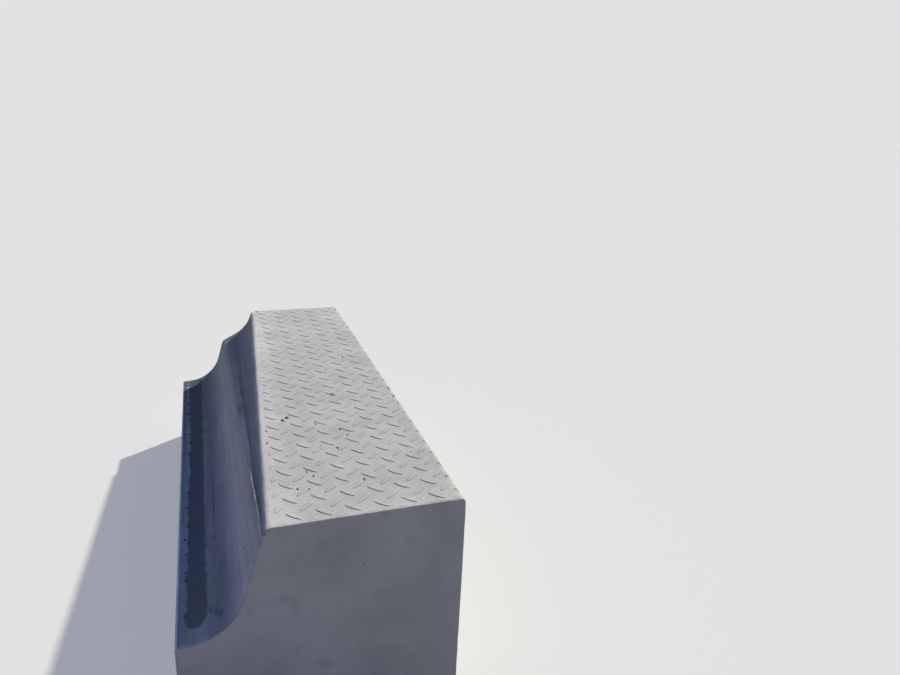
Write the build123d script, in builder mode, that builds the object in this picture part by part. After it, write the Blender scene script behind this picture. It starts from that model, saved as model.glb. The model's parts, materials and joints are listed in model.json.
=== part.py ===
from build123d import *
from math import cos, radians, sin, tan
import os

# Precast concrete boarding kerb, a transition stone: its front steps up in two stages at the far
# end (+Y), and the upper stage runs out to nothing under the nose at the near end (-Y).
# Millimetres. X from the front (-X) to the back (+X), Y from the near end to the far end, Z up
# from the bed. Origin at the middle of the bed.

# The block
stone_length = 995  # with its joint, one metre of kerb
stone_width = 400  # toe edge to back face
stone_height = 330  # bed to tread, over the tread's relief

# The lower stage, the same all along but rising with the apron
far_step = 180  # tread above the apron at the far end
near_step = 160
apron_depth = 72  # toe edge to where the lower face would meet the apron
batter = 16.5  # lean of the faces from upright, in degrees
cove_radius = 80  # hollow between apron and face, and between ledge and face

# The upper stage, set back from the line of the lower face
recess_depth = 52.5  # how far back the nose stands at the far end
recess_fade = 0.04  # what is left of the recess at the near end
ledge_drop = 44  # tread down to where the ledge would meet the upper face
ledge_slope = 27.5  # rise of the ledge from level, in degrees
ridge_radius = 12  # rounding between lower face and ledge
fading_radius = 2.5  # ridge and hollow at the near end, a little over the end arris

# Arrises
toe_radius = 5
nose_radius = 10
back_radius = 8
end_arris = 2  # bevel round both ends

toe_x = -stone_width / 2
back_x = stone_width / 2
foot_x = toe_x + apron_depth
lean = tan(radians(batter))
ledge_rise = tan(radians(ledge_slope))
nose_drop = nose_radius * (1 - sin(radians(batter)))  # height that the nose's rounding takes
clear_of_block = 2 * toe_radius  # how far the room in front of the stone runs past the block

near_end = {"step": near_step, "share": recess_fade, "ridge": fading_radius, "hollow": fading_radius}
far_end = {"step": far_step, "share": 1, "ridge": ridge_radius, "hollow": cove_radius}


def room_in_front(step, share, ridge, hollow, inset):
    # Outline of the room that the stone leaves free in front of it, at a cross-section whose
    # tread stands `step` above the apron, with the recess shrunk to `share` of its full size and
    # every line moved into the stone by `inset`.
    apron_z = stone_height - step
    recess = recess_depth * share
    drop = nose_drop + (ledge_drop - nose_drop) * share
    nose_x = foot_x + lean * step + recess
    root_x = nose_x - lean * drop
    root_z = stone_height - drop
    ledge = recess / (1 - lean * ledge_rise)  # level reach of the ledge from its root to the ridge
    # How far the inset carries a corner that a face makes with a level line, and with the ledge
    face_in = inset / cos(radians(batter))
    ledge_in = inset / cos(radians(ledge_slope))
    level_corner_in = face_in - lean * inset
    ledge_corner_down = (ledge_in - ledge_rise * face_in) / (1 - lean * ledge_rise)
    ledge_corner_in = face_in - lean * ledge_corner_down
    # The nose's corner, and how far its rounding reaches from it along the face and the tread
    corner_x = nose_x + level_corner_in
    corner_z = stone_height - inset
    nose_reach = (nose_radius - inset) * tan(radians(90 - batter) / 2)
    front = FilletPolyline(
        (toe_x - clear_of_block, apron_z - clear_of_block),
        (toe_x + inset, apron_z - clear_of_block),
        (toe_x + inset, apron_z - inset),
        (foot_x + level_corner_in, apron_z - inset),
        (root_x - ledge + ledge_corner_in, root_z - ledge_rise * ledge - ledge_corner_down),
        (root_x + ledge_corner_in, root_z - ledge_corner_down),
        (corner_x - nose_reach * sin(radians(batter)), corner_z - nose_reach * cos(radians(batter))),
        radius=[0, toe_radius - inset, cove_radius + inset, ridge - inset, hollow + inset],
    )
    nose = TangentArc(front @ 1, (corner_x + nose_reach, corner_z), tangent=front % 1)
    Polyline(
        nose @ 1,
        (corner_x + nose_reach, stone_height + clear_of_block),
        (toe_x - clear_of_block, stone_height + clear_of_block),
        front @ 0,
    )


with BuildPart() as kerb_stone:
    # The whole block, with its back arris rounded and both ends bevelled
    with BuildSketch(Plane.XZ):
        with BuildLine():
            FilletPolyline(
                (back_x, 0),
                (toe_x, 0),
                (toe_x, stone_height),
                (back_x, stone_height),
                radius=[0, 0, 0, back_radius],
                close=True,
            )
        make_face()
    extrude(amount=stone_length / 2, both=True)
    ends = kerb_stone.faces().sort_by(Axis.Y)
    chamfer(ends[0].edges() + ends[-1].edges(), end_arris)

    # The stepped and hollowed front, which changes from end to end and keeps the end bevels
    for y, end, inset in (
        (-stone_length / 2, near_end, end_arris),
        (-stone_length / 2 + end_arris, near_end, 0),
        (stone_length / 2 - end_arris, far_end, 0),
        (stone_length / 2, far_end, end_arris),
    ):
        with BuildSketch(Plane.XZ.offset(-y)):
            with BuildLine():
                room_in_front(**end, inset=inset)
            make_face()
    loft(ruled=True, mode=Mode.SUBTRACT)

kerb_stone.part.label = "kerb_stone"

os.makedirs("parts", exist_ok=True)
export_step(kerb_stone.part, "parts/kerb_stone.step")
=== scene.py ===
import json
import math

import bpy
import numpy as np
from mathutils import Matrix, Vector

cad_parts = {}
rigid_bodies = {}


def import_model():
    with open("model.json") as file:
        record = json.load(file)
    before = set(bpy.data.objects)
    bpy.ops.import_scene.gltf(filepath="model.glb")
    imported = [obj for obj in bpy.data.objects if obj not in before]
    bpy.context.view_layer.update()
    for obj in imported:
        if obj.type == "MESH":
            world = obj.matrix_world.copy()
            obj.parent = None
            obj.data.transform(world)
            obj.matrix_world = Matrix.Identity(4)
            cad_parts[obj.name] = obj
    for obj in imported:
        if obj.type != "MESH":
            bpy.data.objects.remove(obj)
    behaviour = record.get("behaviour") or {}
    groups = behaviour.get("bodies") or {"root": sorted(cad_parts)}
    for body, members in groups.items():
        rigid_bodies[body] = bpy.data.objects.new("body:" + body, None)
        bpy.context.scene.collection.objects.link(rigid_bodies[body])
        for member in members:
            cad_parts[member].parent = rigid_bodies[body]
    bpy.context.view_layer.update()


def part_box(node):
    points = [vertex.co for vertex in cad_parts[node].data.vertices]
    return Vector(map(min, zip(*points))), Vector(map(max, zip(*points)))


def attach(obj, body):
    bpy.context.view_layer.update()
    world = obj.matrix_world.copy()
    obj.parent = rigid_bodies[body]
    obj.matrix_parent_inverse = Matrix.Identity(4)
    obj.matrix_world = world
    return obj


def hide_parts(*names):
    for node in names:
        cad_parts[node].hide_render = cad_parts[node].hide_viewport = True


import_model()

# A boarding kerb cast in pale concrete, a transition stone: plain back and ends, a tread with raised
# lenses, and a hollowed front whose upper step runs out towards the near end (-Y).
# Metres, in the part's frame: X from front to back, Y from the near end to the far end, Z up from
# the bed.

mm = 0.001
stoneLow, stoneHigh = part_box("kerb_stone")
print("frame loaded, stone from", tuple(stoneLow), "to", tuple(stoneHigh))


# Mesh and node helpers

def meshPiece(name, points, faceSets, marks=None, smooth=True):
    # A mesh object from a (n, 3) array of points and arrays of faces, one array for each face size.
    # marks holds one number for each point under each name, for the material to read.
    mesh = bpy.data.meshes.new(name)
    loops = np.concatenate([faces.ravel() for faces in faceSets]).astype(np.int32)
    sizes = np.concatenate([np.full(len(faces), faces.shape[1]) for faces in faceSets])
    starts = np.concatenate([[0], np.cumsum(sizes)[:-1]])
    mesh.vertices.add(len(points))
    mesh.vertices.foreach_set("co", points.astype(np.float32).ravel())
    mesh.loops.add(len(loops))
    mesh.loops.foreach_set("vertex_index", loops)
    mesh.polygons.add(len(sizes))
    mesh.polygons.foreach_set("loop_start", starts.astype(np.int32))
    mesh.polygons.foreach_set("loop_total", sizes.astype(np.int32))
    mesh.polygons.foreach_set("use_smooth", np.full(len(sizes), smooth))
    mesh.update(calc_edges=True)
    for mark, values in (marks or {}).items():
        mesh.attributes.new(mark, "FLOAT", "POINT").data.foreach_set("value", values.astype(np.float32))
    mesh.validate()
    piece = bpy.data.objects.new(name, mesh)
    bpy.context.scene.collection.objects.link(piece)
    return piece


def addNode(tree, kind, inputs=(), **settings):
    # Adds one shader node, gives it its settings, and fills or links its inputs, which come by name
    # or in their order. A node among them stands for its first output in use.
    node = tree.nodes.new("ShaderNode" + kind)
    for name, value in settings.items():
        setattr(node, name, value)
    for name, value in inputs.items() if isinstance(inputs, dict) else enumerate(inputs):
        if isinstance(value, bpy.types.Node):
            value = next(socket for socket in value.outputs if socket.enabled)
        if isinstance(value, bpy.types.NodeSocket):
            tree.links.new(value, node.inputs[name])
        else:
            node.inputs[name].default_value = value
    return node


def linearColour(hexText):
    # An sRGB hex value as linear red, green, blue and full alpha: c / 12.92 where it is nearly black,
    # and ((c + 0.055) / 1.055)^2.4 above that
    parts = [int(hexText[i:i + 2], 16) / 255 for i in (1, 3, 5)]
    return tuple(c / 12.92 if c <= 0.04045 else ((c + 0.055) / 1.055) ** 2.4 for c in parts) + (1.0,)


def smoothRise(value, low, high):
    # 0 below low, 1 above high, and 3t^2 - 2t^3 between
    t = np.clip((value - low) / (high - low), 0, 1)
    return t * t * (3 - 2 * t)


# The cast body

# Corners of the section in their order, and the cells on each corner's arc and on the side after it
atBedBack, atBedFront, atToe, atCove, atRidge, atHollow, atNose, atBack = range(8)
arcCells = [3, 3, 6, 34, 10, 20, 8, 6]
sideCells = [6, 14, 3, 26, 14, 5, 90, 16]
firstColumn = np.cumsum([0] + [arc + side for arc, side in zip(arcCells, sideCells)])

stone = {
    "farStep": 180 * mm,  # tread above the apron at the far end
    "nearStep": 160 * mm,
    "apronDepth": 72 * mm,  # toe edge to the foot of the lower face
    "batter": math.radians(16.5),
    "coveRadius": 80 * mm,
    "recessDepth": 52.5 * mm,  # set-back of the nose at the far end
    "recessFade": 0.04,  # share of the recess left at the near end
    "ledgeDrop": 44 * mm,
    "ledgeSlope": math.radians(27.5),
    "ridgeRadius": 12 * mm,
    "fadingRadius": 2.5 * mm,
    "bedRadius": 2.5 * mm,
    "toeRadius": 5 * mm,
    "noseRadius": 10 * mm,  # from the face to the stone's full height
    "treadNose": 8.6 * mm,  # from the face to the plain tread, under the relief
    "backRadius": 8 * mm,
    "reliefHeight": 0.8 * mm,  # the lenses stand this much over the plain tread
    "treadDrop": 0.9 * mm,  # the plain tread lies this much under the stone's full height
    "stations": 336,  # cross-sections along the stone, without those of the end rounding
    "uneven": 0.35 * mm,  # how far the cast faces wander from true
    "endRadius": 2.2 * mm,  # worn rounding round both ends
    "endSteps": (0, 0.06, 0.22, 0.5, 0.85, 1.3),  # its cross-sections, as shares of it
    "endWear": (0.5, 1.5),  # wear widens it by this share of the wear pattern, up to this level
    "endRoom": (0.55, 0.12),  # most it may be: share of a corner's radius, and of the way from there
    "edgeWear": 0.9 * mm,  # depth of the wear along the arrises
    "edgeWearFrom": 0.35,  # level of the wear pattern where it begins
    "edgeReach": {atToe: 3.5, atNose: 5.0, atBack: 4.0},  # in columns of the section
    # Number of waves, and the shortest and longest
    "castWaves": (18, 55 * mm, 420 * mm),
    "wearWaves": (26, 7 * mm, 60 * mm),
    "gritWaves": (40, 3.5 * mm, 9 * mm),
    "seed": 7,
}


def sectionCorners(step, share, ridge, hollow):
    # Corners and radii of a cross-section whose plain tread lies treadDrop under the full height.
    # The nose's corner is where the upper face, leaning by the batter, meets the plain tread.
    lean = math.tan(stone["batter"])
    rise = math.tan(stone["ledgeSlope"])
    toe, back, top = stoneLow.x, stoneHigh.x, stoneHigh.z
    noseDrop = stone["noseRadius"] * (1 - math.sin(stone["batter"]))
    drop = noseDrop + (stone["ledgeDrop"] - noseDrop) * share
    foot = toe + stone["apronDepth"]
    recess = stone["recessDepth"] * share
    noseX = foot + lean * step + recess
    rootX = noseX - lean * drop
    ledge = recess / (1 - lean * rise)
    corners = [
        (back, 0),
        (toe, 0),
        (toe, top - step),
        (foot, top - step),
        (rootX - ledge, top - drop - rise * ledge),
        (rootX, top - drop),
        (noseX - lean * stone["treadDrop"], top - stone["treadDrop"]),
        (back, top - stone["treadDrop"]),
    ]
    radii = [stone["bedRadius"], stone["bedRadius"], stone["toeRadius"], stone["coveRadius"],
             ridge, hollow, stone["treadNose"], stone["backRadius"]]
    return np.array(corners), radii


def roundedOutline(corners, radii):
    # Each corner becomes the arc of its radius tangent to both sides: the arc starts and ends
    # r / tan(half the corner's angle) from the corner. Arcs and sides are then divided evenly. The
    # points come with the way into the stone, a quarter turn right of the direction of travel.
    arcs, insides = [], []
    for k, radius in enumerate(radii):
        before, corner, after = corners[k - 1], corners[k], corners[(k + 1) % len(corners)]
        inward = (before - corner) / np.linalg.norm(before - corner)
        outward = (after - corner) / np.linalg.norm(after - corner)
        half = math.acos(np.clip(inward @ outward, -1, 1)) / 2
        reach = radius / math.tan(half)
        middle = (inward + outward) / np.linalg.norm(inward + outward)
        centre = corner + middle * radius / math.sin(half)
        first, last = corner + inward * reach, corner + outward * reach
        angleA = math.atan2(*(first - centre)[::-1])
        angleB = math.atan2(*(last - centre)[::-1])
        turn = (angleB - angleA + math.pi) % (2 * math.pi) - math.pi
        angles = angleA + turn * np.linspace(0, 1, arcCells[k] + 1)
        spokes = np.stack([np.cos(angles), np.sin(angles)], 1)
        arcs.append(centre + radius * spokes)
        insides.append(spokes * np.sign(turn))
    outline, into = [], []
    for k in range(len(radii)):
        nextStart = arcs[(k + 1) % len(radii)][0]
        share = np.linspace(0, 1, sideCells[k] + 1)[1:-1, None]
        outline += [arcs[k], arcs[k][-1] * (1 - share) + nextStart * share]
        into += [insides[k], np.tile(insides[k][-1], (len(share), 1))]
    return np.concatenate(outline), np.concatenate(into)


nearCorners, nearRadii = sectionCorners(stone["nearStep"], stone["recessFade"],
                                        stone["fadingRadius"], stone["fadingRadius"])
farCorners, farRadii = sectionCorners(stone["farStep"], 1, stone["ridgeRadius"], stone["coveRadius"])
nearOutline, intoStone = roundedOutline(nearCorners, nearRadii)
farOutline, _ = roundedOutline(farCorners, farRadii)


def noseLine(y):
    # X of the nose's corner at a station, straight from the near end to the far end
    t = (y - stoneLow.y) / (stoneHigh.y - stoneLow.y)
    return nearCorners[atNose][0] * (1 - t) + farCorners[atNose][0] * t


waveSource = np.random.default_rng(stone["seed"])


def waveSet(count, shortest, longest):
    # Sines in random directions, as wave vectors and phases: wavelengths are shortest * (longest /
    # shortest)^chance, and a wave vector is 2 pi over the wavelength
    direction = waveSource.normal(size=(count, 3))
    direction /= np.linalg.norm(direction, axis=1)[:, None]
    length = shortest * (longest / shortest) ** waveSource.random(count)
    return direction * (2 * math.pi / length)[:, None], waveSource.random(count) * 2 * math.pi


castWaves, wearWaves, gritWaves = [waveSet(*stone[name])
                                   for name in ("castWaves", "wearWaves", "gritWaves")]


def waveSum(points, waves):
    # Sum of the sines at each point over the root of 1.2 times their number: about -1 to 1
    directions, phases = waves
    return np.sin(points @ directions.T + phases).sum(-1) / math.sqrt(len(phases) * 1.2)


def castUnevenness(points):
    # How far a cast face lies under its true place: between nothing and the uneven depth
    return stone["uneven"] * (0.5 + 0.5 * np.clip(waveSum(points, castWaves), -1, 1))


# Air holes that the mould left, as place, radius and depth in millimetres. These stand where the
# photograph shows them, and the others are scattered over the faces that were cast against steel.
airHoles = {
    "shown": [
        ((-19.9, -180.7, 328.6), 3.9, 3.0),
        ((-11.8, -170.6, 328.6), 3.6, 2.4),
        ((140.3, 109.2, 328.6), 2.8, 2.0),
        ((82.8, -87.4, 328.6), 3.0, 1.2),
        ((68.2, -235.8, 328.6), 2.3, 2.2),
        ((76.8, -260.8, 328.6), 1.8, 1.6),
        ((83.8, -123.5, 328.6), 1.6, 1.6),
        ((32.1, -206.2, 328.6), 1.5, 1.6),
        ((-50.7, -214, 328.6), 1.6, 1.6),
        ((71.2, -408.7, 328.6), 2.6, 2.0),
        ((-25.5, -410.5, 328.6), 1.8, 1.6),
        ((-9.3, -414.3, 328.6), 1.8, 1.6),
        ((52.5, -301.5, 328.6), 2.0, 1.6),
        ((193.3, -84.9, 328.6), 2.0, 1.6),
        ((192.4, -123.4, 328.6), 2.0, 1.6),
        ((-6, -364.7, 328.6), 1.6, 1.6),
        ((2.1, -379.9, 328.6), 1.6, 1.6),
        ((27.8, -288.3, 328.6), 1.7, 1.6),
        ((-54.1, -258.5, 328.6), 1.7, 1.6),
        ((-186.4, -356, 167.2), 2.6, 2.2),
        ((-188.9, -246.3, 165), 2.2, 1.8),
        ((-103, -419.7, 252.9), 2.4, 2.0),
    ],
    "pitDarkFrom": 1.5,  # those deeper than this are painted dark inside: dirt and the shade in them
    "pitDarkReach": (1, 1.9, 1),  # times the radius, longer along the stone
    "pitDarkCore": 0.7,  # share of that reach which is evenly dark
    "pitDarkStrength": 0.95,
    "scattered": 60,
    "radius": (1.4 * mm, 2.6 * mm),
    "depth": 0.8,  # times the radius
    "fromEnds": 8,  # cross-sections at each end without any
    "seed": 21,
}
# Where the ridge runs out it swells a little, on the side of the ledge, and there it catches the light
ridgeSwell = {"from": -485 * mm, "full": (-450 * mm, -330 * mm), "to": -265 * mm,
              "height": 2.3 * mm, "reach": 2.6 * mm, "above": 3 * mm}
# The crumbled corner of the nose at the far end
crumble = {
    "place": (-14 * mm, 492 * mm, 329 * mm),
    "reach": (13 * mm, 9 * mm),  # across and along
    "size": 1.25,  # reaches from its place to its edge
    "blur": 0.55,  # over which its depth rises there
    "ragged": 0.35,  # how far grit moves the edge, as a share
    "depth": 5 * mm,
    "rough": 0.25,  # share of the depth that follows the grit
    "under": (22 * mm, 8 * mm),  # it begins and is full this far under its place
}


def bodySurface():
    # The section is carried along Y by blending the near and far outlines in proportion to Y, then
    # every point moves straight into the stone in its section: by the end rounding
    # r - sqrt(r^2 - (r - d)^2) at a distance d from an end, by the unevenness, wear and holes.
    halfLength = stoneHigh.y
    radius = stone["endRadius"]
    endSteps = radius * np.array(stone["endSteps"])
    inner = np.linspace(-halfLength + 2 * radius, halfLength - 2 * radius, stone["stations"])
    y = np.concatenate([-halfLength + endSteps, inner, halfLength - endSteps[::-1]])
    share = ((y + halfLength) / (2 * halfLength))[:, None, None]
    outline = nearOutline * (1 - share) + farOutline * share
    stations = np.broadcast_to(y[:, None], outline.shape[:2])
    points = np.stack([outline[..., 0], stations, outline[..., 1]], 2)

    # Way along each section from its first point, for distances from a corner's middle
    stride = np.linalg.norm(np.roll(outline, -1, 1) - outline, axis=2)
    way = np.cumsum(stride, 1) - stride
    radii = np.array(nearRadii) * (1 - share[..., 0]) + np.array(farRadii) * share[..., 0]

    # The end rounding stays inside each outer corner's own radius, with more room away from it
    fromEnd = np.minimum(y + halfLength, halfLength - y)[:, None]
    wear = waveSum(points, wearWaves)
    widening, mostWear = stone["endWear"]
    ofRadius, ofWay = stone["endRoom"]
    endRadius = radius * (1 + widening * np.clip(wear, 0, mostWear))
    for corner in (atBedBack, atBedFront, atToe, atRidge):
        middle = firstColumn[corner] + arcCells[corner] // 2
        away = np.abs(way - way[:, middle:middle + 1])
        away = np.minimum(away, stride.sum(1, keepdims=True) - away)
        endRadius = np.minimum(endRadius, ofRadius * radii[:, corner:corner + 1] + ofWay * away)
    bite = np.clip(endRadius - fromEnd, 0, None)
    depth = endRadius - np.sqrt(endRadius ** 2 - np.minimum(bite, endRadius) ** 2)
    depth += castUnevenness(points)

    # The swelling of the ridge, e^(-(distance / reach)^2) across the section
    ridgeMiddle = firstColumn[atRidge] + arcCells[atRidge] // 2
    fromRidge = (way - way[:, ridgeMiddle:ridgeMiddle + 1] - ridgeSwell["above"]) / ridgeSwell["reach"]
    along = (smoothRise(y, ridgeSwell["from"], ridgeSwell["full"][0])
             - smoothRise(y, ridgeSwell["full"][1], ridgeSwell["to"]))[:, None]
    depth -= ridgeSwell["height"] * along * np.exp(-fromRidge ** 2)

    # Wear along the toe, the nose and the back arris, strongest at the middle of each arc
    columns = np.arange(outline.shape[1])
    edge = np.zeros(outline.shape[1])
    for corner, reach in stone["edgeReach"].items():
        middleColumn = firstColumn[corner] + arcCells[corner] / 2
        edge = np.maximum(edge, np.exp(-((columns - middleColumn) / reach) ** 2))
    depth += edge * stone["edgeWear"] * np.clip(wear - stone["edgeWearFrom"], 0, None)

    # The crumbled corner, rough from grit
    place = np.array(crumble["place"])
    across = (points[..., 0] - place[0]) / crumble["reach"][0]
    lengthways = (points[..., 1] - place[1]) / crumble["reach"][1]
    high = smoothRise(points[..., 2], *[place[2] - under for under in crumble["under"]])
    grit = waveSum(points, gritWaves)
    size = crumble["size"] * (1 + crumble["ragged"] * grit)
    broken = smoothRise(size - np.hypot(across, lengthways), 0, crumble["blur"]) * high
    depth += broken * crumble["depth"] * (1 - crumble["rough"] + crumble["rough"] * grit)

    # Air holes, e^(-(distance / radius)^4) deep
    scatter = np.random.default_rng(airHoles["seed"])
    rows = scatter.integers(airHoles["fromEnds"], len(y) - airHoles["fromEnds"], airHoles["scattered"])
    places = scatter.integers(firstColumn[atToe], firstColumn[atHollow], airHoles["scattered"])
    centres = [points[row, place] for row, place in zip(rows, places)]
    sizes = scatter.uniform(*airHoles["radius"], airHoles["scattered"])
    holes = [(centre, size, airHoles["depth"] * size) for centre, size in zip(centres, sizes)]
    holes += [(np.array(centre) * mm, size * mm, deep * mm) for centre, size, deep in airHoles["shown"]]
    for centre, size, deep in holes:
        near = ((points - centre) ** 2).sum(2) / size ** 2
        depth += deep * np.exp(-near ** 2)

    body = points.copy()
    body[..., 0] += intoStone[:, 0] * depth
    body[..., 2] += intoStone[:, 1] * depth
    return body


plainZone = 9.0


def sectionZones():
    # A number for each column of the section: -1 on the toe's upright, 0 at the toe's edge, 1 and 2
    # at the start and end of the cove, 3 and 4 of the ridge, 5 and 6 of the hollow, 7 and 8 of the
    # nose, even steps between them, and plainZone elsewhere
    zones = np.full(len(nearOutline), plainZone)
    zones[firstColumn[atToe] - sideCells[atBedFront]:firstColumn[atToe]] = -1.0
    for corner in range(atToe, atNose + 1):
        level = 2 * (corner - atToe) - 1.0
        arc, side = arcCells[corner], sideCells[corner]
        start, end = firstColumn[corner], firstColumn[corner] + arc
        zones[start:end] = level + np.arange(arc) / arc
        zones[end:end + side] = level + 1 + np.arange(side) / side
    zones[end + 1:] = plainZone
    return zones


# Rings across each end: their middle, sizes, and how much of the worn edge's own shape each keeps
endRings = {
    "middle": (40 * mm, 100 * mm),
    "sizes": (0.985, 0.95, 0.88, 0.76, 0.6, 0.42, 0.22),
    "kept": (1, 0.4, 0.08, 0, 0, 0, 0),
    "inset": 0.9,  # of the plain outline, as a share of the end rounding
}


def closedBody(body):
    # Across each end, rings shrink towards a middle point, which closes it. Each is the plain outline
    # scaled by its size, plus what it keeps of the worn edge's own shape.
    middle = np.array(endRings["middle"])
    sizes, kept = [np.array(endRings[name])[:, None, None] for name in ("sizes", "kept")]
    rings = []
    for ring, outline, side in ((body[0], nearOutline, -1), (body[-1], farOutline, 1)):
        plain = outline + intoStone * endRings["inset"] * stone["endRadius"]
        across = middle + (plain - middle) * sizes + (ring[:, [0, 2]] - plain) * kept
        stations = np.broadcast_to(ring[:, 1], across.shape[:2])
        flat = np.stack([across[..., 0], stations, across[..., 1]], 2)
        flat[..., 1] -= side * castUnevenness(flat)
        rings.append(flat)
    rows = np.concatenate([rings[0][::-1], body, rings[1]])
    count, width = rows.shape[:2]
    poles = np.array([[middle[0], rows[0, 0, 1], middle[1]], [middle[0], rows[-1, 0, 1], middle[1]]])
    index = np.arange(count * width).reshape(count, width)
    right = np.roll(index, -1, 1)
    quads = np.stack([index[:-1], index[1:], right[1:], right[:-1]], 2).reshape(-1, 4)
    nearFan = np.stack([np.full(width, count * width), index[0], right[0]], 1)
    farFan = np.stack([np.full(width, count * width + 1), right[-1], index[-1]], 1)
    # The front mark is 1 on the front and 0 on the ends and on all plain faces
    zones = np.tile(sectionZones(), (count, 1))
    front = np.where(zones < plainZone, 1.0, 0.0)
    front[:len(sizes)] = 0.0
    front[-len(sizes):] = 0.0
    marks = {"zone": np.append(zones, [plainZone, plainZone]), "front": np.append(front, [0.0, 0.0])}
    points = np.concatenate([rows.reshape(-1, 3), poles])
    return points, [quads, np.concatenate([nearFan, farFan])], marks


bodyPoints, bodyFaces, bodyMarks = closedBody(bodySurface())
body = meshPiece("cast_body", bodyPoints, bodyFaces, bodyMarks)
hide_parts("kerb_stone")
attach(body, "root")
print("cast body:", len(bodyPoints), "points")


# The lenses on the tread

lens = {
    "length": 30.5 * mm,
    "width": 8.4 * mm,
    "pitchAlong": 39.29 * mm,  # along the stone, in both rows
    "pitchAcross": 40.09 * mm,
    "fallingStart": (161.4 * mm, -477.6 * mm),  # first lens that leans towards the near end
    "risingStart": (181.4 * mm, -458.1 * mm),
    "rows": (range(-1, 27), range(-1, 8)),  # along and across, from the first lens
    "lean": math.radians(45),
    "turnSpread": 0.012,  # how far single lenses are out of true, in radians
    "placeSpread": 0.25 * mm,
    "stations": 13,  # points along a lens
    "across": (-1, -0.84, -0.58, 0, 0.58, 0.84, 1),  # points across it, in half widths
    "crown": (0, 0.86, 0.97, 1, 0.97, 0.86, 0),  # height at each of them
    "tip": 0.06,  # least half width
    "lower": 0.12,  # the lowest lenses are lower by this share
    "worn": 0.18,  # and wear takes this share more
    "bury": 0.7 * mm,
    "noseMargin": 12.2 * mm,  # the pattern stops this far behind the nose's corner
    "backMargin": 6.6 * mm,
    "endMargin": 2.2 * mm,
    "marginBlur": 1 * mm,
    "spill": (2 * mm, 1.2 * mm),  # a cut lens may lie this far past the margins, across and along
    "leeway": (2 * mm, 4 * mm, 9 * mm),  # how far past nose, back and ends its middle may lie
    "least": 0.05,  # a lens that keeps less of its height than this is left out
    # Dirt round the foot, and painted shade on the flanks, from 0 to 1
    "foot": (0.65, 0.9),  # half widths where it begins and where it is full
    "fallingShadeAndDirt": (0.95, 0.35),  # painted shade with dirt on the shaded flank, and on the other dirt with painted shade that dulls its lit side
    "risingDirtAndShade": (0.7, 0.3),  # dirt and painted shade on both flanks: at the near end, and how much less it is at the far end
    "risingReach": (-100 * mm, 350 * mm),
    "stub": (0.25, 0.4),  # a cut lens is all dirt where this share of it is left, and bare at the second
    "stubDirt": 0.85,
    "seed": 5,
}


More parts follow.
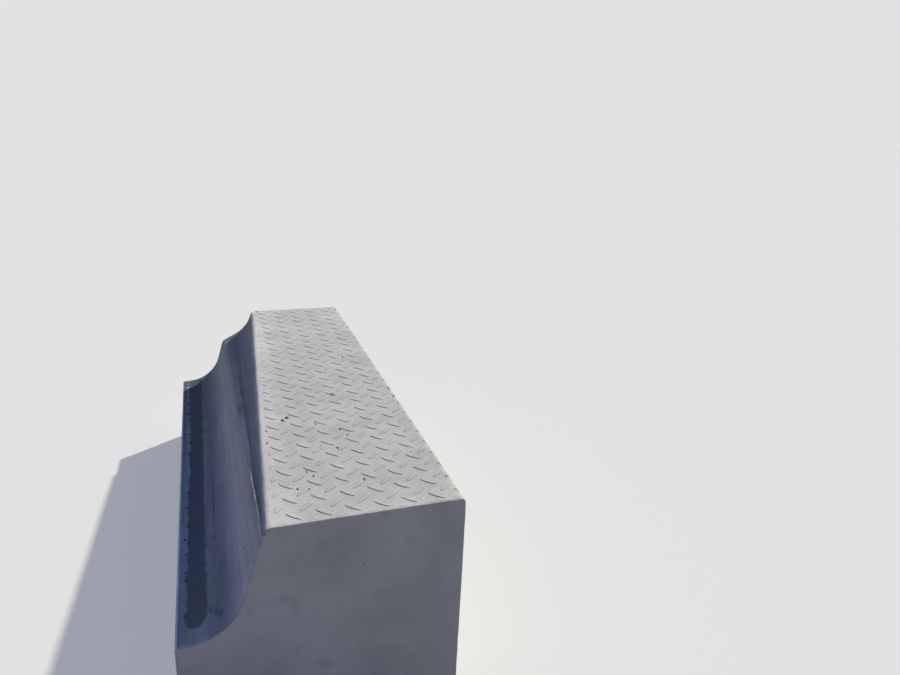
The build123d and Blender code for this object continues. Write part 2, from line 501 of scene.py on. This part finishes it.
def lensField():
    # Each lens is a grid: s runs along it and t across it, the half width is (1 - s^2)^0.75 of the
    # full one, and the height is a steep flank and a flat crown times the root of 1 - s^6. It fades
    # at the pattern's borders.
    chance = np.random.default_rng(lens["seed"])
    lengthways, crossways = np.meshgrid(*lens["rows"], indexing="ij")
    centres, turns = [], []
    for start, turn in ((lens["fallingStart"], -lens["lean"]), (lens["risingStart"], lens["lean"])):
        x = start[0] - crossways * lens["pitchAcross"]
        y = start[1] + lengthways * lens["pitchAlong"]
        pastNose, pastBack, pastEnd = lens["leeway"]
        near = ((x > noseLine(y) - pastNose) & (x < stoneHigh.x + pastBack)
                & (np.abs(y) < stoneHigh.y + pastEnd))
        centres.append(np.stack([x[near], y[near]], 1))
        turns.append(np.full(near.sum(), turn))
    centres, turns = np.concatenate(centres), np.concatenate(turns)
    number = len(centres)
    turns = turns + chance.normal(0, lens["turnSpread"], number)
    centres = centres + chance.normal(0, lens["placeSpread"], centres.shape)

    s = np.sin(np.linspace(-math.pi / 2, math.pi / 2, lens["stations"]))
    t = np.array(lens["across"])
    halfWidth = np.maximum((1 - s ** 2) ** 0.75, lens["tip"])
    u = s[:, None] * lens["length"] / 2 * np.ones(len(t))
    v = t[None, :] * halfWidth[:, None] * lens["width"] / 2
    height = np.array(lens["crown"])[None, :] * np.sqrt(np.clip(1 - s ** 6, 0, 1))[:, None]
    height[[0, -1]] = 0

    c, n = np.cos(turns)[:, None, None], np.sin(turns)[:, None, None]
    x = centres[:, 0, None, None] + c * u - n * v
    y = centres[:, 1, None, None] + n * u + c * v
    inside, blur = 1, lens["marginBlur"]
    for room, margin in ((x - noseLine(y), lens["noseMargin"]), (stoneHigh.x - x, lens["backMargin"]),
                         (stoneHigh.y - np.abs(y), lens["endMargin"])):
        inside = inside * smoothRise(room, margin - blur, margin + blur)
    tall = (1 - lens["lower"] * chance.random(number))[:, None, None]
    floorZ = stoneHigh.z - stone["treadDrop"]
    floorPoints = np.stack([x, y, np.full_like(x, floorZ)], 3)
    worn = 1 - lens["worn"] * np.clip(waveSum(floorPoints, wearWaves), 0, 1)
    foundation = floorZ - castUnevenness(floorPoints) - lens["bury"]
    z = foundation + (stone["reliefHeight"] * tall * worn + lens["bury"]) * height * inside
    shown = inside.max(axis=(1, 2)) > lens["least"]
    x, y, z = x[shown], y[shown], z[shown]
    # Where the pattern stops, a lens keeps to the stone's own plan
    x = np.clip(x, noseLine(y) + lens["noseMargin"] - lens["spill"][0],
                stoneHigh.x - lens["backMargin"] + lens["spill"][0])
    farthest = stoneHigh.y - lens["endMargin"] + lens["spill"][1]
    points = np.stack([x, np.clip(y, -farthest, farthest), z], 3)
    number, rows, columns = points.shape[:3]
    index = np.arange(number * rows * columns).reshape(number, rows, columns)
    quads = np.stack([index[:, :-1, :-1], index[:, 1:, :-1], index[:, 1:, 1:], index[:, :-1, 1:]], 3)
    rims = np.concatenate([index[:, :, 0], index[:, -1, 1:], index[:, -2::-1, -1],
                           index[:, 0, -2:0:-1]], 1)

    # Dirt gathers round the foot, and painted shade darkens the shaded flank of the falling lenses most,
    # standing in for their shadow, and dulls their lit flank; the dirt also fills what little is left of
    # a lens that a border cuts off
    falling = (turns < 0)[shown, None, None]
    foot = smoothRise(np.abs(t), *lens["foot"])
    rising = lens["risingDirtAndShade"][0] - lens["risingDirtAndShade"][1] * smoothRise(y, *lens["risingReach"])
    footDirtAndShade = foot * np.where(falling, np.where(t < 0, *lens["fallingShadeAndDirt"]), rising)
    stub = 1 - smoothRise(inside[shown].mean(axis=(1, 2)), *lens["stub"])[:, None, None]
    footDirtAndShade = np.maximum(footDirtAndShade, lens["stubDirt"] * stub)
    marks = {"zone": np.full(footDirtAndShade.size, plainZone), "footDirtAndShade": footDirtAndShade.ravel()}
    return points.reshape(-1, 3), [quads.reshape(-1, 4), rims[:, ::-1]], marks


lensPoints, lensFaces, lensMarks = lensField()
lenses = meshPiece("tread_lenses", lensPoints, lensFaces, lensMarks)
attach(lenses, "root")
print("tread lenses:", len(lensFaces[1]))


# Concrete, wet-cast against steel: pale cement skin, nearly white where it is clean, with a fine
# sandy speckle, clouding a hand wide, pinholes, soft streaks along the front, dirt and painted shade
# round the lenses, a dark rubbed band along the apron, painted shade with some dirt in the cove, the
# hollow and the larger air holes, and a painted highlight on the toe's edge.

concrete = {
    "skin": "#c6c4c4",
    "dirt": "#4a4643",  # in the pinholes
    "pitDirtAndShade": "#35302e",  # dirt and painted shade in the larger air holes
    # round the lenses: dirt, with painted shade on their flanks
    "lensDirtAndShade": "#767371",
    "flankShadeAndDirt": "#5f5342",  # painted shade on the shaded flanks, and dirt in cut-off stubs, warm enough to look grey under the blue of the sky
    "band": "#666d74",
    "bandNear": "#787e7a",
    "bandDots": "#34373d",
    "smudge": "#767a79",
    "roughness": 0.86,
    "specular": 0.18,  # a rough porous skin gives little sheen
    # Noise patterns: size, detail, roughness and distortion
    "noises": {
        "clouds": (90 * mm, 4.0, 0.55, 0.0),
        "patches": (38 * mm, 3.0, 0.5, 0.6),
        "wander": (22 * mm, 4.0, 0.65, 0.0),
        "speckle": (2.2 * mm, 2.0, 0.7, 0.0),  # sand is finer: drawn coarser so that it shows
    },
    "noiseRange": (0.3, 0.7),  # nearly all of a noise lies between these
    # Drawn-out patterns: scales of the two ways, detail and roughness. Across the front the way is
    # in zones, plus heightShare for each metre of height.
    "drawnOut": {
        "streaks": (4.5, 1 / (260 * mm), 3.0, 0.6),
        "scratches": (45.0, 1 / (45 * mm), 2.0, 0.5),
        "scuffs": (1 / (45 * mm), 1 / (3 * mm), 2.0, 0.5),
    },
    "heightShare": 6.0,
    # Stains: pattern, its levels where the stain begins and is full, its share there, and its colour.
    # Streaks and scratches, as the mould was wiped, are on the front alone.
    "stains": [
        ("clouds", (0.36, 0.66), 1.0, "#b8b6b6"),
        ("patches", (0.52, 0.74), 0.35, "#c2bcb5"),
        ("patches", (0.46, 0.26), 0.6, "#afb0ae"),
        ("streaks", (0.42, 0.7), 0.55, "#9ca19f"),
        ("scratches", (0.58, 0.76), 0.25, "#767a79"),
    ],
    "poreSpacing": 13 * mm,
    "poreShare": (0.84, 1.0),  # a cell whose random number is above the first holds one
    "poreRadius": (0.0, 0.09),  # in spacings
    "poreEdge": (-0.02, 0.03),
    "shadeFrom": (0.6, 0.85),  # level of the lens dirt and painted shade where the colour of the painted flank shade begins and is full
    "speckleTones": (0.91, 1.09),
    "scuffRange": (0.35, 0.65),
    "scuffTones": (0.945, 1.05),
    "treadUnder": (4 * mm, 2 * mm),  # the tread's own tones begin and are full this far under the top
    "noseTone": 1.13,  # the tread beside the nose is trodden paler
    "noseReach": (14 * mm, 60 * mm),
    # How light and how warm each zone of the section is, from the toe's upright (-1) to the tread
    # (9): painted shade, darker and bluer, on the apron, in the cove and in the hollow, most where the
    # ledge meets the upper face (4.9), with some dirt in the hollows, and a painted highlight on the
    # toe's edge
    "tones": [
        (-1, 0.9, -0.05), (-0.4, 1.5, -0.1), (-0.1, 0.71, -0.18), (0.4, 0.8, -0.21), (1.2, 0.82, -0.1),
        (1.27, 0.77, -0.1), (1.33, 0.6, -0.1), (1.45, 0.52, -0.1), (1.58, 0.56, -0.08),
        (1.8, 0.77, -0.04), (2.2, 0.94, 0), (2.75, 0.85, 0), (3.5, 0.78, 0), (4.1, 0.9, 0.02),
        (4.5, 0.95, 0.02), (4.68, 0.84, 0), (4.82, 0.48, -0.04), (4.98, 0.44, -0.04),
        (5.16, 0.54, -0.04), (5.7, 0.5, -0.02), (6.4, 0.56, 0.05), (7.1, 0.68, 0.04), (7.7, 1, 0),
        (9, 1, 0),
    ],
    # How much of that is left at the far end, where the toe and the ledge are darker, and the ledge bluer
    "farTones": [
        (-1, 0.7, -0.05), (-0.4, 0.55, -0.14), (0, 0.32, -0.04), (0.9, 0.56, -0.02), (1.08, 0.78, 0),
        (1.26, 0.69, 0), (1.4, 0.63, -0.04), (1.52, 0.76, -0.03), (1.68, 0.88, -0.02), (2.2, 0.84, 0),
        (3.6, 0.78, -0.03), (4.0, 0.66, -0.08), (4.4, 0.475, -0.17), (4.7, 0.475, -0.17),
        (4.9, 0.84, -0.05), (5.3, 0.93, -0.03), (6.5, 1.15, 0.02), (7.2, 1.3, 0.02), (7.7, 1, 0),
        (9, 1, 0),
    ],
    "farReach": (-260 * mm, 370 * mm),
    # The same for the tread and the plain faces, by station
    "treadTones": [(-480 * mm, 0.985, 0), (-300 * mm, 0.94, 0), (-50 * mm, 0.94, 0), (400 * mm, 1.03, 0)],
    # Smudges, as place and reach in millimetres and strength
    "smudges": [
        ((34.7, -372.5, 329), (9, 6, 4), 0.3),
        ((72, -378, 329), (11, 6, 4), 0.3),
        ((82.8, -87.4, 329), (4.6, 10, 4), 0.8),
        ((-132, -365, 188), (9, 60, 12), 0.3),
        ((-152.5, -444, 179), (6, 12, 8), 0.7),
        ((-146, -452, 181), (6, 12, 8), 0.7),
        ((-140, -464, 185), (5, 12, 8), 0.6),
        ((-82.7, -34, 293), (6, 42, 9), 0.7),
        ((-77, 53.7, 291), (6, 18, 9), 0.5),
        ((-77.2, 146.2, 285), (6, 14, 9), 0.45),
        ((-87.4, -372.6, 304.7), (4, 14, 8), 0.6),
        ((-83.6, -414.5, 315.2), (4, 12, 6), 0.7),
        ((-85.5, -385, 309), (9, 120, 14), 0.35),
        ((-141.5, -150, 178), (5, 210, 2.6), 0.8),
        ((-88, -300, 300), (12, 150, 22), 0.12),
    ],
    "smudgeCore": 0.2,  # share of the reach that has the full strength
    "smudgeRagged": 0.3,  # how far its edge wanders, as a share of the reach
    # Strength and depth of the two reliefs
    "grain": (0.3, 0.25 * mm),
    "dents": (0.8, 1.0 * mm),
}
# The rubbed band: its edges, its round near end, and the teeth and dots along its front edge
rubbedBand = {
    "front": -184.5 * mm,
    "waist": 3.5 * mm,  # how much farther back its front edge lies at its middle than at its ends
    "waistMiddle": 90 * mm,
    "waistReach": 330 * mm,
    "teeth": (5 * mm, 15 * mm),  # reach of the longest ones at the next two stations
    "teethReach": (-300 * mm, 430 * mm),
    "pitch": 17 * mm,
    "toothWidth": 0.45,  # half of it, in pitches
    "toothPower": 2.0,  # makes long teeth rarer than short ones
    "back": -156.4 * mm,  # at the stone's middle
    "backSlant": 0.003,  # towards the far end it runs this much backwards
    "tip": (-173 * mm, -468 * mm),
    "tipReach": 14 * mm,
    "wander": 2.2 * mm,  # how far its edges wander
    "frontBlur": 1.8 * mm,
    "backBlur": 2.5 * mm,
    "tipBlur": 1.5 * mm,
    "toeZone": (0.0, 0.1),  # zone where it ends towards the toe, and the blur there
    "faceZone": (2.025, 0.025),
    "dotShare": (0.6, 1.0),  # a tooth whose random number is above the first has a dot
    "dotRadius": (-2 * mm, 4.2 * mm),  # of the smallest and the largest
    "dotBlur": 1.2 * mm,
    "dotStrength": 0.8,
    "paler": (-230 * mm, -450 * mm),  # its near part is rubbed thinner between these stations
}


def castConcrete():
    # Colours are laid over the skin one after the other, each by its share, and then multiplied by
    # tones for the zone, the station and the fine patterns. Two reliefs lie under them.
    material = bpy.data.materials.new("cast_concrete")
    material.use_nodes = True
    tree = material.node_tree
    tree.nodes.clear()
    place = addNode(tree, "TexCoord").outputs["Object"]
    x, y, z = addNode(tree, "SeparateXYZ", [place]).outputs
    zone, footDirtAndShade, front = [addNode(tree, "Attribute", attribute_name=name).outputs["Fac"]
                          for name in ("zone", "footDirtAndShade", "front")]

    # Noise patterns, even ones and those drawn out along the front or slantwise over the tread
    noises = {}
    for name, (size, detail, roughness, distortion) in concrete["noises"].items():
        noises[name] = addNode(tree, "TexNoise", {"Vector": place, "Scale": 1 / size, "Detail": detail,
                                                  "Roughness": roughness, "Distortion": distortion})
    acrossFront = addNode(tree, "Math", [z, concrete["heightShare"], zone], operation="MULTIPLY_ADD")
    sway, lean = [addNode(tree, "Math", [x, y], operation=way) for way in ("ADD", "SUBTRACT")]
    for name, ways in (("streaks", (acrossFront, y)), ("scratches", (acrossFront, y)),
                       ("scuffs", (sway, lean))):
        *scales, detail, roughness = concrete["drawnOut"][name]
        drawnOut = addNode(tree, "CombineXYZ", [addNode(tree, "Math", [way, scale], operation="MULTIPLY")
                                                for way, scale in zip(ways, scales)])
        noises[name] = addNode(tree, "TexNoise", {"Vector": drawnOut, "Scale": 1.0, "Detail": detail,
                                                  "Roughness": roughness})

    # Stains of the cement skin
    layers = []
    for pattern, (begins, full), most, hexText in concrete["stains"]:
        share = addNode(tree, "MapRange", [noises[pattern], begins, full, 0.0, most])
        if pattern in ("streaks", "scratches"):
            share = addNode(tree, "Math", [share, front], operation="MULTIPLY")
        layers.append((share, hexText))

    # Pinholes: one in six cells of a Voronoi pattern holds a dark dot
    cells = addNode(tree, "TexVoronoi", {"Vector": place, "Scale": 1 / concrete["poreSpacing"]})
    cellPick = addNode(tree, "SeparateColor", [cells.outputs["Color"]])
    poreRadius = addNode(tree, "MapRange", [cellPick, *concrete["poreShare"], *concrete["poreRadius"]])
    inPore = addNode(tree, "Math", [poreRadius, cells], operation="SUBTRACT")
    pore = addNode(tree, "MapRange", [inPore, *concrete["poreEdge"]])

    # The rubbed band on the apron. Its front edge reaches forward at the points of a row along the
    # stone, each tooth by its own share, and dots stand at some of them.
    wander, ragged = [addNode(tree, "MapRange", [noises["wander"], *concrete["noiseRange"], -most, most])
                      for most in (rubbedBand["wander"], concrete["smudgeRagged"])]
    row = addNode(tree, "TexVoronoi",
                  {"W": addNode(tree, "Math", [y, 1 / rubbedBand["pitch"]], operation="MULTIPLY"),
                   "Scale": 1.0}, voronoi_dimensions="1D")
    rowPick = addNode(tree, "SeparateColor", [row.outputs["Color"]])
    tooth = addNode(tree, "MapRange", [row, 0.0, rubbedBand["toothWidth"], 1.0, 0.0],
                    interpolation_type="SMOOTHSTEP")
    toothShare = addNode(tree, "Math", [rowPick.outputs[1], rubbedBand["toothPower"]], operation="POWER")
    forward = addNode(tree, "MapRange", [y, *rubbedBand["teethReach"], *rubbedBand["teeth"]])
    for share in (tooth, toothShare):
        forward = addNode(tree, "Math", [forward, share], operation="MULTIPLY")
    fromWaist = addNode(tree, "Math", [y, rubbedBand["waistMiddle"]], operation="SUBTRACT")
    fromWaist = addNode(tree, "Math", [fromWaist], operation="ABSOLUTE")
    atWaist = rubbedBand["front"] + rubbedBand["waist"]
    frontLine = addNode(tree, "MapRange", [fromWaist, 0.0, rubbedBand["waistReach"],
                                           atWaist, rubbedBand["front"]],
                        interpolation_type="SMOOTHSTEP")
    fromLine = addNode(tree, "Math", [x, frontLine], operation="SUBTRACT")
    fromFront = fromLine
    for shift in (forward, wander):
        fromFront = addNode(tree, "Math", [fromFront, shift], operation="ADD")
    fromBack = addNode(tree, "Math", [y, -rubbedBand["backSlant"], x], operation="MULTIPLY_ADD")
    fromBack = addNode(tree, "Math", [fromBack, wander], operation="ADD")
    tipSide = addNode(tree, "Math", [x, rubbedBand["tip"][0]], operation="SUBTRACT")
    tipSide = addNode(tree, "Math", [tipSide, 2.0], operation="POWER")
    tipRound = addNode(tree, "Math", [tipSide, -1 / rubbedBand["tipReach"], y], operation="MULTIPLY_ADD")
    band, backEdge, tipEdge, onApron, offToe = [
        addNode(tree, "MapRange", [value, middle - blur, middle + blur, before, after])
        for value, middle, blur, before, after in (
            (fromFront, 0.0, rubbedBand["frontBlur"], 0.0, 1.0),
            (fromBack, rubbedBand["back"], rubbedBand["backBlur"], 1.0, 0.0),
            (tipRound, rubbedBand["tip"][1], rubbedBand["tipBlur"], 0.0, 1.0),
            (zone, *rubbedBand["faceZone"], 1.0, 0.0),
            (zone, *rubbedBand["toeZone"], 0.0, 1.0))]
    for edge in (backEdge, tipEdge, onApron, offToe, front):
        band = addNode(tree, "Math", [band, edge], operation="MULTIPLY")
    alongRow = addNode(tree, "Math", [row, rubbedBand["pitch"]], operation="MULTIPLY")
    fromDot = addNode(tree, "VectorMath", [addNode(tree, "CombineXYZ", [fromLine, alongRow])],
                      operation="LENGTH")
    dotRadius = addNode(tree, "MapRange", [rowPick, *rubbedBand["dotShare"], *rubbedBand["dotRadius"]])
    inDot = addNode(tree, "Math", [dotRadius, fromDot], operation="SUBTRACT")
    inDot = addNode(tree, "Math", [inDot, wander], operation="ADD")
    dots = addNode(tree, "MapRange", [inDot, -rubbedBand["dotBlur"], rubbedBand["dotBlur"],
                                      0.0, rubbedBand["dotStrength"]])
    for edge in (tipEdge, front):
        dots = addNode(tree, "Math", [dots, edge], operation="MULTIPLY")

    bandPaint, lensPaint = [
        addNode(tree, "Mix", {0: addNode(tree, "MapRange", [value, *reach]),
                              6: linearColour(concrete[first]), 7: linearColour(concrete[second])},
                data_type="RGBA")
        for value, reach, first, second in ((y, rubbedBand["paler"], "band", "bandNear"),
                                            (footDirtAndShade, concrete["shadeFrom"], "lensDirtAndShade", "flankShadeAndDirt"))]
    layers += [(footDirtAndShade, lensPaint), (pore, concrete["dirt"]),
               (band, bandPaint), (dots, concrete["bandDots"])]

    # Smudges, soft ellipsoids with a ragged edge, and the dirt and painted shade in the larger air holes
    dark = [(spot, reach, strength, concrete["smudgeCore"], concrete["smudge"])
            for spot, reach, strength in concrete["smudges"]]
    dark += [(spot, [size * times for times in airHoles["pitDarkReach"]], airHoles["pitDarkStrength"],
              airHoles["pitDarkCore"], concrete["pitDirtAndShade"])
             for spot, size, deep in airHoles["shown"] if deep > airHoles["pitDarkFrom"]]
    for spot, reach, strength, core, hexText in dark:
        away = addNode(tree, "VectorMath", [place, [c * mm for c in spot]], operation="SUBTRACT")
        away = addNode(tree, "VectorMath", [away, [1 / (r * mm) for r in reach]], operation="MULTIPLY")
        away = addNode(tree, "VectorMath", [away], operation="LENGTH")
        away = addNode(tree, "Math", [away, ragged], operation="ADD")
        layers.append((addNode(tree, "MapRange", [away, core, 1.0, strength, 0.0]), hexText))

    colour = linearColour(concrete["skin"])
    for share, paint in layers:
        paint = linearColour(paint) if isinstance(paint, str) else paint
        colour = addNode(tree, "Mix", {0: share, 6: colour, 7: paint}, data_type="RGBA")

    # Tones over the zone or the station, as (t + tw, t, t - tw) for a tone t and a warmth w
    ramps = []
    for name, value in (("tones", zone), ("farTones", zone), ("treadTones", y)):
        stops = concrete[name]
        low, high = stops[0][0], stops[-1][0]
        ramp = addNode(tree, "ValToRGB", [addNode(tree, "MapRange", [value, low, high])])
        elements = ramp.color_ramp.elements
        elements.remove(elements[1])
        for k, (position, tone, warmth) in enumerate(stops):
            stop = elements.new((position - low) / (high - low)) if k else elements[0]
            stop.color = (tone * (1 + warmth), tone, tone * (1 - warmth), 1.0)
        ramps.append(ramp)
    tones, farTones, treadTones = ramps
    farShare = addNode(tree, "MapRange", [y, *concrete["farReach"]])
    farShare = addNode(tree, "Math", [farShare, front], operation="MULTIPLY")
    elsewhere = addNode(tree, "Math", [1.0, front], operation="SUBTRACT")

    # Levels of the fine patterns, and of the tread beside the nose
    speckleLevel = addNode(tree, "MapRange", [noises["speckle"], *concrete["noiseRange"],
                                              *concrete["speckleTones"]])
    scuffLevel = addNode(tree, "MapRange", [noises["scuffs"], *concrete["scuffRange"],
                                            *concrete["scuffTones"]])
    onTread = addNode(tree, "MapRange", [z, *[stoneHigh.z - under for under in concrete["treadUnder"]]])
    noseRun = (farCorners[atNose][0] - nearCorners[atNose][0]) / (stoneHigh.y - stoneLow.y)
    noseMiddle = (nearCorners[atNose][0] + farCorners[atNose][0]) / 2
    fromNose = addNode(tree, "Math", [y, -noseRun, x], operation="MULTIPLY_ADD")
    noseEdges = [noseMiddle + reach for reach in concrete["noseReach"]]
    noseLevel = addNode(tree, "MapRange", [fromNose, *noseEdges, concrete["noseTone"], 1.0],
                        interpolation_type="SMOOTHSTEP")
    for share, level in ((1.0, speckleLevel), (front, tones), (farShare, farTones),
                         (elsewhere, treadTones), (onTread, scuffLevel), (onTread, noseLevel)):
        colour = addNode(tree, "Mix", {0: share, 6: colour, 7: level},
                         data_type="RGBA", blend_type="MULTIPLY")

    # Fine relief: sand, and the dents of the pinholes
    strength, deep = concrete["grain"]
    grain = addNode(tree, "Bump", {"Strength": strength, "Distance": deep, "Height": noises["speckle"]})
    strength, deep = concrete["dents"]
    dents = addNode(tree, "Bump", {"Strength": strength, "Distance": deep, "Height": pore,
                                   "Normal": grain}, invert=True)
    shader = addNode(tree, "BsdfPrincipled",
                     {"Base Color": colour, "Roughness": concrete["roughness"],
                      "Specular IOR Level": concrete["specular"], "Normal": dents})
    addNode(tree, "OutputMaterial", [shader])
    return material


concreteMaterial = castConcrete()
for piece in (body, lenses):
    piece.data.materials.append(concreteMaterial)
print("concrete ready")


# Floor, light and camera

studio = {
    "floorSize": 60.0,
    "floorShown": "#e6e6e6",  # what the camera sees
    "floorBounce": "#8a8a8a",  # what the floor gives back to the stone
    "floorGlow": 0.35,  # share of the shown floor that glows by itself, for a paler shadow
    "backdropShown": "#e2e2e3",
    "keyAzimuth": math.radians(35),  # from +X towards +Y
    "keyHeight": math.radians(37.9),
    "keyStrength": 4.1,
    "keyAngle": math.radians(1.5),
    "keyColour": (1.0, 0.958, 0.834),
    # The fill is a dome, blue overhead and paler towards the horizon, and warmer behind the stone
    "fillFront": ((0.06, 0.115, 0.30), (0.62, 0.66, 0.95)),
    "fillBehind": ((0.12, 0.13, 0.16), (0.5, 0.5, 0.5)),
    "fillTurn": (-0.4, 0.5),  # X of the directions between which it changes from front to behind
    "fillFalloff": 3.0,
}


def seenRay(tree):
    # 1 for what the camera sees by itself or mirrored, and 0 for what lights the stone
    ray = addNode(tree, "LightPath")
    return addNode(tree, "Math", [ray.outputs["Is Camera Ray"], ray.outputs["Is Glossy Ray"]],
                   operation="MAXIMUM")


def paleFloor():
    # A square at the height of the bed, shown paler than what it gives back to the stone
    half = studio["floorSize"] / 2
    points = np.array([[-half, -half, 0], [half, -half, 0], [half, half, 0], [-half, half, 0]])
    floor = meshPiece("floor", points, [np.array([[0, 1, 2, 3]])], smooth=False)
    material = bpy.data.materials.new("pale_floor")
    material.use_nodes = True
    tree = material.node_tree
    tree.nodes.clear()
    seen = seenRay(tree)
    colour = addNode(tree, "Mix", {0: seen, 6: linearColour(studio["floorBounce"]),
                                   7: linearColour(studio["floorShown"])}, data_type="RGBA")
    diffuse = addNode(tree, "BsdfDiffuse", [colour])
    glow = addNode(tree, "Emission", [linearColour(studio["floorShown"]), 1.0])
    glowShare = addNode(tree, "Math", [seen, studio["floorGlow"]], operation="MULTIPLY")
    addNode(tree, "OutputMaterial", [addNode(tree, "MixShader", [glowShare, diffuse, glow])])
    floor.data.materials.append(material)


def studioLight():
    # The key shines from its azimuth and height. The dome leads from the overhead colour to the
    # horizon's by (1 - height)^falloff, in front and behind.
    lamp = bpy.data.lights.new("key", "SUN")
    lamp.energy = studio["keyStrength"]
    lamp.angle = studio["keyAngle"]
    lamp.color = studio["keyColour"]
    key = bpy.data.objects.new("key", lamp)
    bpy.context.scene.collection.objects.link(key)
    azimuth, height = studio["keyAzimuth"], studio["keyHeight"]
    towards = Vector((math.cos(height) * math.cos(azimuth), math.cos(height) * math.sin(azimuth),
                      math.sin(height)))
    key.rotation_euler = towards.to_track_quat("Z", "Y").to_euler()
    world = bpy.data.worlds.new("studio")
    world.use_nodes = True
    tree = world.node_tree
    tree.nodes.clear()
    direction = addNode(tree, "TexCoord").outputs["Generated"]
    across, _, up = addNode(tree, "SeparateXYZ", [direction]).outputs
    behind = addNode(tree, "MapRange", [across, *studio["fillTurn"]], interpolation_type="SMOOTHSTEP")
    low = addNode(tree, "MapRange", [up, 0.0, 1.0, 1.0, 0.0])
    share = addNode(tree, "Math", [low, studio["fillFalloff"]], operation="POWER")
    overhead, horizon = [addNode(tree, "Mix", {0: behind, 6: front + (1.0,), 7: back + (1.0,)},
                                 data_type="RGBA")
                         for front, back in zip(studio["fillFront"], studio["fillBehind"])]
    dome = addNode(tree, "Mix", {0: share, 6: overhead, 7: horizon}, data_type="RGBA")
    fill = addNode(tree, "Background", [dome, 1.0])
    shown = addNode(tree, "Background", [linearColour(studio["backdropShown"]), 1.0])
    addNode(tree, "OutputWorld", [addNode(tree, "MixShader", [seenRay(tree), fill, shown])])
    bpy.context.scene.world = world


view = {
    "place": (-0.1300, -1.2922, 0.8561),
    "yaw": math.radians(-20.245),  # turned towards +X
    "pitch": math.radians(18.509),  # looking down
    "roll": math.radians(2.645),
    "focalPixels": 692.36,  # in a frame 900 pixels wide
    "framePixels": 900,
    "sensor": 36.0,
}


def photographersCamera():
    # Right, up and view axes from yaw about Z, then pitch, then roll about the view axis
    yaw, pitch, roll = view["yaw"], view["pitch"], view["roll"]
    ahead = Vector((-math.sin(yaw), math.cos(yaw), 0))
    side = Vector((math.cos(yaw), math.sin(yaw), 0))
    upright = Vector((0, 0, 1))
    look = math.cos(pitch) * ahead - math.sin(pitch) * upright
    lift = math.sin(pitch) * ahead + math.cos(pitch) * upright
    right = math.cos(roll) * side + math.sin(roll) * lift
    up = -math.sin(roll) * side + math.cos(roll) * lift
    data = bpy.data.cameras.new("camera")
    data.sensor_fit = "HORIZONTAL"
    data.sensor_width = view["sensor"]
    data.lens = view["focalPixels"] * view["sensor"] / view["framePixels"]
    camera = bpy.data.objects.new("camera", data)
    bpy.context.scene.collection.objects.link(camera)
    turn = Matrix((right, up, -look)).transposed()
    camera.matrix_world = Matrix.Translation(view["place"]) @ turn.to_4x4()
    bpy.context.scene.camera = camera


paleFloor()
studioLight()
photographersCamera()
bpy.context.scene.view_settings.view_transform = "Standard"
print("stage ready")
